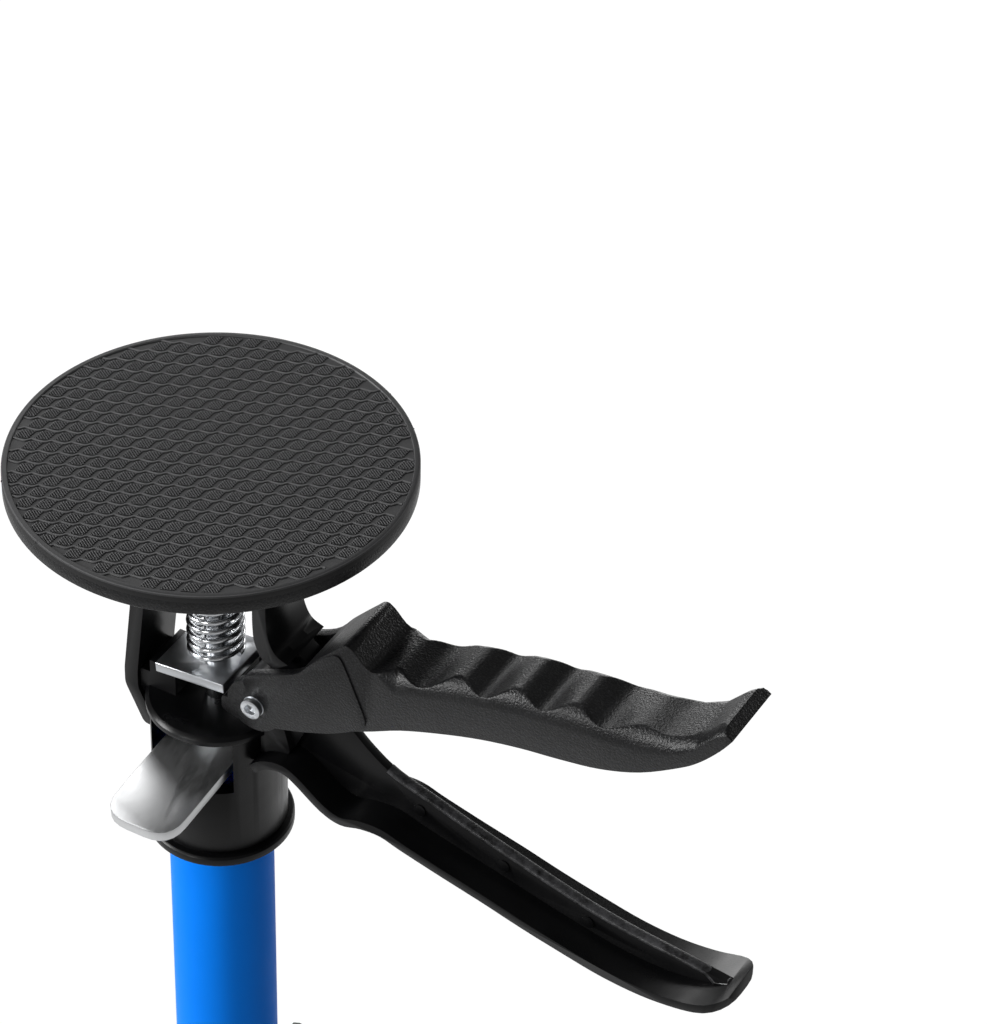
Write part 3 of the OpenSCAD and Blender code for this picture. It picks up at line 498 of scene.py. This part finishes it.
def shouldered(piece):
    """Rounds the handle's shoulders, and evens out the facets of its hollows on the way."""
    pivot = Vector((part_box("pivot_screw")[0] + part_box("pivot_screw")[1]) / 2)
    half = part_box("trigger")[1].y - SIDE_ROUND
    bm = bmesh.new()
    bm.from_mesh(piece.data)
    planes = slice_planes(pivot, half)
    for spot, across in planes:
        far = [f for f in bm.faces if f.calc_center_median().x > pivot.x + SLICED_FROM * GRIP_L]
        touched = dict.fromkeys([e for f in far for e in f.edges] + [v for f in far for v in f.verts] + far)
        bmesh.ops.bisect_plane(bm, geom=list(touched), dist=0.01 * MM, plane_co=spot, plane_no=across)
    stations = sorted({spot.x for spot, across in planes if across.x})
    crest = crest_line(bm, stations[:-1], half - SHOULDER_W)
    for v in bm.verts:
        x = (v.co.x - pivot.x) / GRIP_L
        if x < SHOULDER_FROM:
            continue
        if CREST_REACH[0] < x < CREST_REACH[1] and abs(v.co.z - between(crest, v.co.x)) < CREST_NEAR:
            v.co.z = sum(between(crest, v.co.x + CREST_STEP * d) for d in (-2, -1, 0, 1, 2)) / 5
        t = min(1, max(0, (abs(v.co.y) - (half - SHOULDER_W)) / SHOULDER_W))
        drop = between(FULLNESS, x) * SHOULDER_H * (1 - math.sqrt(1 - t * t))
        v.co.z = min(v.co.z, pivot.z + GRIP_L * between(RIDGE_TOPS, x) - drop)
    bm.to_mesh(piece.data)
    bm.free()
    piece.data.shade_smooth()
    piece.data.set_sharp_from_angle(angle=math.radians(40))


trigger = softened("trigger", "trigger_finished", 0.8 * MM, SPARK_NYLON, "black_nylon")
shouldered(trigger)
print("trigger faces", len(trigger.data.polygons))

# %% [markdown]
# Several pieces are one section led along a line: the wire of a spring, the bead on the handle and the
# ridges and ribs of the treads. Their lines are worked out point by point, and a small Geometry Nodes tree
# sweeps a round or flattened section along them. Curves with a bevel would do the same, one by one; the
# tree takes any number of lines in one mesh, with its sizes as named inputs.

# %% A tree that sweeps a section along lines
SWEEP_SOCKETS = (("Geometry", "Geometry", "INPUT"), ("Half width", "Float", "INPUT"),
                 ("Flatness", "Float", "INPUT"), ("Sides", "Int", "INPUT"),
                 ("Material", "Material", "INPUT"), ("Geometry", "Geometry", "OUTPUT"))


def sweep_tree():
    tree = bpy.data.node_groups.new("section_along_lines", "GeometryNodeTree")
    for name, kind, way in SWEEP_SOCKETS:
        tree.interface.new_socket(name, in_out=way, socket_type="NodeSocket" + kind)
    given = add(tree, "NodeGroupInput").outputs
    line = add(tree, "GeometryNodeMeshToCurve", {"Mesh": given["Geometry"]}).outputs["Curve"]
    upright = add(tree, "GeometryNodeSetCurveNormal", {"Curve": line})
    upright.mode = "Z_UP"
    section = add(tree, "GeometryNodeCurvePrimitiveCircle", {"Resolution": given["Sides"],
                                                             "Radius": given["Half width"]}).outputs["Curve"]
    size = add(tree, "ShaderNodeCombineXYZ", {"X": 1.0, "Y": given["Flatness"], "Z": 1.0}).outputs["Vector"]
    flat = add(tree, "GeometryNodeTransform", {"Geometry": section, "Scale": size}).outputs["Geometry"]
    swept = add(tree, "GeometryNodeCurveToMesh", {"Curve": upright.outputs["Curve"], "Profile Curve": flat,
                                                  "Fill Caps": True}).outputs["Mesh"]
    smooth = add(tree, "GeometryNodeSetShadeSmooth", {"Geometry": swept}).outputs["Geometry"]
    real = add(tree, "GeometryNodeRealizeInstances", {"Geometry": smooth}).outputs["Geometry"]
    painted = add(tree, "GeometryNodeSetMaterial", {"Geometry": real, "Material": given["Material"]})
    add(tree, "NodeGroupOutput", {"Geometry": painted.outputs["Geometry"]})
    return tree


SWEEP = sweep_tree()


def swept_lines(name, lines, half_width, flatness, sides, material):
    """One mesh: the section led along every open line of points."""
    points = [p for line in lines for p in line]
    edges, start = [], 0
    for line in lines:
        edges += [(start + i, start + i + 1) for i in range(len(line) - 1)]
        start += len(line)
    mesh = bpy.data.meshes.new(name)
    mesh.from_pydata(points, edges, [])
    guide = bpy.data.objects.new(name + "_guide", mesh)
    bpy.context.collection.objects.link(guide)
    sweep = guide.modifiers.new("sweep", "NODES")
    sweep.node_group = SWEEP
    values = {"Half width": half_width, "Flatness": flatness, "Sides": sides, "Material": material}
    for socket in SWEEP.interface.items_tree:
        if socket.in_out == "INPUT" and socket.name in values:
            sweep[socket.identifier] = values[socket.name]
    return baked(guide, name)


print("sweep tree nodes:", len(SWEEP.nodes))

# %% [markdown]
# The fixed handle is a thin web with a palm flange under it. Its free top edge carries a rounded bead, so
# that the edge doesn't cut into the hand. The bead follows the top of the web, as read from the CAD mesh.

# %% Web bead
WEB_HALF = 1.5 * MM
WEB_FROM = 0.27
STATION = 0.2 * MM
BEAD_STEP = 1.5 * MM
BEAD_STEEPEST = 0.9
BEAD_SUNK = 0.5 * MM
BEAD_HALF = 1.9 * MM
BEAD_FLATNESS = 0.55


def web_top():
    """The top edge of the handle's web: the highest point of its flat face at every length that has one."""
    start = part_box("pivot_screw")[0].x + WEB_FROM * GRIP_L
    tops = {}
    for v in frame["nodes"]["head_body"].data.vertices:
        if v.co.x > start and abs(abs(v.co.y) - WEB_HALF) < 0.05 * MM:
            station = round(v.co.x / STATION)
            tops[station] = max(tops.get(station, (0, 0)), (v.co.z, v.co.x))
    line = []
    for z, x in (tops[station] for station in sorted(tops)):
        run = x - line[-1][0] if line else BEAD_STEP * 2
        if not line or (run > BEAD_STEP and abs(z - line[-1][2]) < BEAD_STEEPEST * run):
            line.append((x, 0, z))
    return line


bead_line = [(x, 0, z - BEAD_SUNK) for x, _, z in web_top()]
bead = swept_lines("handle_web_bead", [bead_line], BEAD_HALF, BEAD_FLATNESS, 12, WORN_NYLON)
bead.data.materials.clear()
bead.data.materials.append(WORN_NYLON)
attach(bead, BODY_OF["head_body"])
print("bead points", len(bead_line), "length", round((bead_line[-1][0] - bead_line[0][0]) / MM, 1), "mm")

# %% [markdown]
# A spring is one wire wound into a coil, and its end turns lie close so that it presses evenly. The main
# spring stands on the drive plate, which waits at a slant of five degrees, so its low end leans with it.

# %% Springs
RINGS = 32
CLOSED_GAP = 0.5 * MM
DRIVE_LEAN = math.sin(math.radians(5))


def coil(node, turns, wire, lean=0.0):
    """The centre line of a spring that fills a CAD node's box, its low end leaning with the plate under it."""
    low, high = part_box(node)
    radius = (high.x - low.x - wire) / 2
    bottom = low.z + wire / 2 + radius * abs(lean)
    top = high.z - wire / 2
    ends = wire + CLOSED_GAP
    step = (top - bottom - 2 * ends) / (turns - 2)
    line = []
    for i in range(turns * RINGS + 1):
        u = i / RINGS
        x, y = radius * math.cos(2 * math.pi * u), radius * math.sin(2 * math.pi * u)
        z = bottom + ends * min(u, 1) + step * max(0, min(u, turns - 1) - 1) + ends * max(0, u - turns + 1)
        line.append((x, y, z + (1 - u / turns) * lean * x))
    return line


def spring(node, name, turns, wire, lean=0.0):
    low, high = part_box(node)
    piece = swept_lines(name, [coil(node, turns, wire, lean)], wire / 2, 1.0, 12, SPRING_WIRE)
    finish_piece(piece, SPRING_WIRE, "zinc_steel", node)
    print(name, "turns", turns, "length", round((high.z - low.z) / MM, 1), "mm")
    return piece


main_spring = spring("main_spring", "main_spring_wound", 11, 1.8 * MM, DRIVE_LEAN)
brake_spring = spring("brake_spring", "brake_spring_wound", 4, 1.2 * MM)

# %% [markdown]
# As the trigger closes, the drive plate climbs and shortens the main spring, and the tongue does the same
# to the brake spring. The wound pieces can't ride on two bodies; each is only given a mesh of its own here,
# and neither is squashed as its joint moves.

# %% Springs with meshes of their own
DRIVE_TRAVEL = 4.3 * MM
BRAKE_TRAVEL = 1.0 * MM
for piece, joint, travel in ((main_spring, "drive_lift", DRIVE_TRAVEL),
                             (brake_spring, "release_press", BRAKE_TRAVEL)):
    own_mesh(piece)

# %% [markdown]
# Each pad carries a rubber tread. Its face has a thin lip, staggered rows of wavy ridges that cross the
# whole disc, and a small open ring at the centre where the rubber flowed in. Every cell between two ridges
# holds a slanted patch with a fine net on it. The net's ribs are too fine to show in the render, so they
# are drawn wider and further apart. The base is a turned profile, the patches are flat blocks, and ridges,
# ribs and ring are lines swept by the same tree as the springs. A picture wrapped over the disc would be
# quicker, but its relief would be missing from the mesh.

# %% Lines of the tread
RIDGE_PITCH = 5.06 * MM
RIDGE_WAVE = 5.83 * MM
RIDGE_SWING = 1.15 * MM
RIDGE_FALL = 0.66
RIDGE_EASE = 0.08
RIDGE_STEP = 0.5 * MM
RIDGE_TILT = math.radians(24)
PATCH_PLACE = 0.58
PATCH_EDGE = 0.7 * MM
PATCH_HALF = (2.1 * MM, 1.75 * MM)
PATCH_LEAN = 0.45
PATCH_DEPTH = 0.2 * MM
RIB_STEP = (0.43 * MM, 0.66 * MM)
RIB_PAIRS = 7
RIB_SHORTEST = 0.8


def on_face(u, v, z):
    """A place given along and across the rows, turned to where the rows lie on the disc."""
    c, s = math.cos(RIDGE_TILT), math.sin(RIDGE_TILT)
    return (u * c - v * s, u * s + v * c, z)


def wave(u):
    """A ridge's height in its row, over one wave: a long gentle fall and a short steep rise."""
    u = u % 1
    return 0.5 - u / RIDGE_FALL if u < RIDGE_FALL else -0.5 + (u - RIDGE_FALL) / (1 - RIDGE_FALL)


def ridge_lines(reach, z):
    """One wavy line for every row, from rim to rim, with its corners partly smoothed."""
    lines = []
    rows = int(reach / RIDGE_PITCH) + 1
    for row in range(-rows, rows + 1):
        v = (row + 0.5) * RIDGE_PITCH
        if abs(v) >= reach:
            continue
        half = math.sqrt(reach ** 2 - v ** 2)
        count = max(2, int(2 * half / RIDGE_STEP))
        line = []
        for i in range(count + 1):
            u = -half + 2 * half * i / count
            along = u / RIDGE_WAVE + row * 0.5
            eased = sum(wave(along + d) for d in (-RIDGE_EASE, 0, RIDGE_EASE)) / 3
            line.append(on_face(u, v + (0.6 * wave(along) + 0.4 * eased) * RIDGE_SWING, z))
        lines.append(line)
    return lines


def patch_places(reach):
    """Middles of the slanted patches, one in every cell between two ridges."""
    rows = int(reach / RIDGE_PITCH) + 1
    cells = int(reach / RIDGE_WAVE) + 2
    places = [((cell + PATCH_PLACE - 0.5 * (row % 2)) * RIDGE_WAVE, (row + 1) * RIDGE_PITCH)
              for row in range(-rows, rows + 1) for cell in range(-cells, cells + 1)]
    return [place for place in places if math.hypot(*place) < reach - PATCH_EDGE]


def net_ribs(places, z):
    """Two families of thin ribs that cross in every patch, cut off at its edges."""
    wide, tall = PATCH_HALF
    lines = []
    for way in (1, -1):
        slope = way * RIB_STEP[0] - PATCH_LEAN * RIB_STEP[1]
        for k in range(-RIB_PAIRS, RIB_PAIRS + 1):
            ends = sorted(((-wide - 2 * k * RIB_STEP[0]) / slope, (wide - 2 * k * RIB_STEP[0]) / slope))
            low, high = max(ends[0], -tall / RIB_STEP[1]), min(ends[1], tall / RIB_STEP[1])
            if high - low > RIB_SHORTEST:
                lines.append([((2 * k + way * q) * RIB_STEP[0], RIB_STEP[1] * q) for q in (low, high)])
    return [[on_face(u + du, v + dv, z) for du, dv in line] for u, v in places for line in lines]


def patch_floors(name, places, z):
    """A closed flat block in every cell, sunk into the disc, with its top at z."""
    wide, tall = PATCH_HALF
    corners = [(-wide - PATCH_LEAN * tall, -tall), (wide - PATCH_LEAN * tall, -tall),
               (wide + PATCH_LEAN * tall, tall), (-wide + PATCH_LEAN * tall, tall)]
    sides = [(3, 2, 1, 0), (4, 5, 6, 7), (0, 1, 5, 4), (1, 2, 6, 5), (2, 3, 7, 6), (3, 0, 4, 7)]
    points = [on_face(u + du, v + dv, level) for u, v in places for level in (z - PATCH_DEPTH, z)
              for du, dv in corners]
    mesh = bpy.data.meshes.new(name)
    mesh.from_pydata(points, [], [tuple(8 * i + k for k in side) for i in range(len(places)) for side in sides])
    floors = bpy.data.objects.new(name, mesh)
    bpy.context.collection.objects.link(floors)
    return floors


print("tread rows", round(RIDGE_PITCH / MM, 2), "mm apart, waves", round(RIDGE_WAVE / MM, 2), "mm long")

# %% Treads
DISC_SIDES = 192
LIP_W = 1.6 * MM
LIP_SLOPE = 0.3 * MM
EDGE_ROUND = ((0.0, 0.6), (0.15, 0.2), (0.55, 0.0))
PATTERN_EDGE = 0.4 * MM
RIDGE_HALF = 0.36 * MM
RIDGE_FLATNESS = 1.25
RIB_HALF = 0.2 * MM
RIB_MIDDLE = 0.18 * MM
MARK_R = 2.6 * MM
MARK_HALF = 0.3 * MM
MARK_POINTS = 34
MARK_STEP = 1 / 6


def turned_disc(name, profile):
    """A closed disc from a profile of (radius, height), with single points where the radius is zero."""
    bm = bmesh.new()
    rings = []
    turns = [2 * math.pi * i / DISC_SIDES for i in range(DISC_SIDES)]
    for r, z in profile:
        rings.append([bm.verts.new((r * math.cos(a), r * math.sin(a), z)) for a in (turns if r else [0])])
    for low, high in zip(rings, rings[1:]):
        for i in range(DISC_SIDES):
            j = i + 1
            corners = [low[i % len(low)], low[j % len(low)], high[j % len(high)], high[i % len(high)]]
            bm.faces.new(list(dict.fromkeys(corners)))
    bmesh.ops.recalc_face_normals(bm, faces=bm.faces)
    mesh = bpy.data.meshes.new(name)
    bm.to_mesh(mesh)
    bm.free()
    disc = bpy.data.objects.new(name, mesh)
    bpy.context.collection.objects.link(disc)
    return disc


def tread(node, name, facing):
    """A whole tread, made face up with its back at height zero, then turned to its side of the pole."""
    low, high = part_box(node)
    r = (high.x - low.x) / 2
    t = high.z - low.z
    face = t - FACE_SUNK
    reach = r - LIP_W - PATTERN_EDGE
    profile = [(0, 0), (r, 0)] + [(r - inwards * MM, t - down * MM) for inwards, down in EDGE_ROUND]
    profile += [(r - LIP_W, t), (r - LIP_W - LIP_SLOPE, face), (0, face)]
    base = turned_disc(name, profile)
    ridges = swept_lines(name + "_ridges", ridge_lines(reach, face), RIDGE_HALF, RIDGE_FLATNESS, 6, RUBBER)
    places = patch_places(reach)
    floors = patch_floors(name + "_patches", places, face + PATCH_RISE)
    net = swept_lines(name + "_net", net_ribs(places, face + RIB_MIDDLE), RIB_HALF, 1.0, 4, RUBBER)
    ring = [(MARK_R * math.cos(MARK_STEP * i), MARK_R * math.sin(MARK_STEP * i), face)
            for i in range(MARK_POINTS)]
    mark = swept_lines(name + "_mark", [ring], MARK_HALF, 1.0, 5, RUBBER)
    bpy.ops.object.select_all(action="DESELECT")
    for part in (base, ridges, floors, net, mark):
        part.data.materials.clear()
        part.select_set(True)
    bpy.context.view_layer.objects.active = base
    bpy.ops.object.join()
    flip = Matrix.Rotation(math.pi, 4, "X") if facing < 0 else Matrix.Identity(4)
    base.data.transform(Matrix.Translation((0, 0, high.z if facing < 0 else low.z)) @ flip)
    base.data.shade_smooth()
    base.data.set_sharp_from_angle(angle=SMOOTH_LIMIT)
    finish_piece(base, RUBBER, "black_rubber", node)
    print(name, "triangles about", sum(len(p.vertices) - 2 for p in base.data.polygons))


tread("top_tread", "top_tread_patterned", 1)
tread("foot_tread", "foot_tread_patterned", -1)

# %% [markdown]
# The floor is a wide pale sheet. For rays from the camera it is brightened towards white, wholly so far
# away and a little less near the foot, so that the backdrop looks like plain paper and the shadow at the
# foot still shows. The world is white to the camera too and lights the object only weakly, because the
# lamps do that. Reflections get a smaller share of both, so that black stays black.

# %% Floor and world
FLOOR_REACH = 12.0
FLOOR_GLOW = 1.06
FLOOR_SHINE = 0.3
GLOW_SHARES = (0.85, 1.0)
GLOW_DISTANCES = (1.0, 2.5)
SKY_GLOW = 1.05
SKY_SHINE = 0.16
SKY_LIGHT = 0.16


def seen_share(tree, shine):
    """1 for rays from the camera or through glass, a smaller share for reflections, and 0 for the rest."""
    rays = add(tree, "ShaderNodeLightPath").outputs
    reflected = calc(tree, "MULTIPLY", rays["Is Glossy Ray"], shine)
    return calc(tree, "MAXIMUM", rays["Is Camera Ray"],
                calc(tree, "MAXIMUM", reflected, rays["Is Transmission Ray"]))


def pale_floor():
    material, tree, shader, place, out = start_material("pale_paper_floor", 0.9)
    shader.inputs["Base Color"].default_value = linear("#f2f2f2")
    glow = add(tree, "ShaderNodeEmission", {"Color": linear("#ffffff"), "Strength": FLOOR_GLOW})
    away = add(tree, "ShaderNodeVectorMath", {0: place}, operation="LENGTH").outputs["Value"]
    far = spread(tree, away, *GLOW_SHARES, *GLOW_DISTANCES)
    share = calc(tree, "MULTIPLY", seen_share(tree, FLOOR_SHINE), far)
    paper = add(tree, "ShaderNodeMixShader",
                {0: share, 1: shader.outputs["BSDF"], 2: glow.outputs["Emission"]}).outputs["Shader"]
    tree.links.new(paper, out.inputs["Surface"])
    mesh = bpy.data.meshes.new("floor")
    corners = [(x * FLOOR_REACH, y * FLOOR_REACH, 0) for x, y in ((-1, -1), (1, -1), (1, 1), (-1, 1))]
    mesh.from_pydata(corners, [], [(0, 1, 2, 3)])
    floor = bpy.data.objects.new("floor", mesh)
    floor.data.materials.append(material)
    bpy.context.collection.objects.link(floor)


def pale_world():
    world = bpy.data.worlds.new("studio")
    world.use_nodes = True
    tree = world.node_tree
    tree.nodes.clear()
    seen = calc(tree, "MULTIPLY", seen_share(tree, SKY_SHINE), SKY_GLOW)
    strength = calc(tree, "MAXIMUM", seen, SKY_LIGHT)
    sky = add(tree, "ShaderNodeBackground", {"Color": linear("#ffffff"), "Strength": strength})
    add(tree, "ShaderNodeOutputWorld", {"Surface": sky.outputs["Background"]})
    bpy.context.scene.world = world


pale_floor()
pale_world()
bpy.context.scene.view_settings.view_transform = "Standard"
print("floor", round(2 * FLOOR_REACH), "m wide, view transform", bpy.context.scene.view_settings.view_transform)

# %% Last update of the scene
bpy.context.view_layer.update()
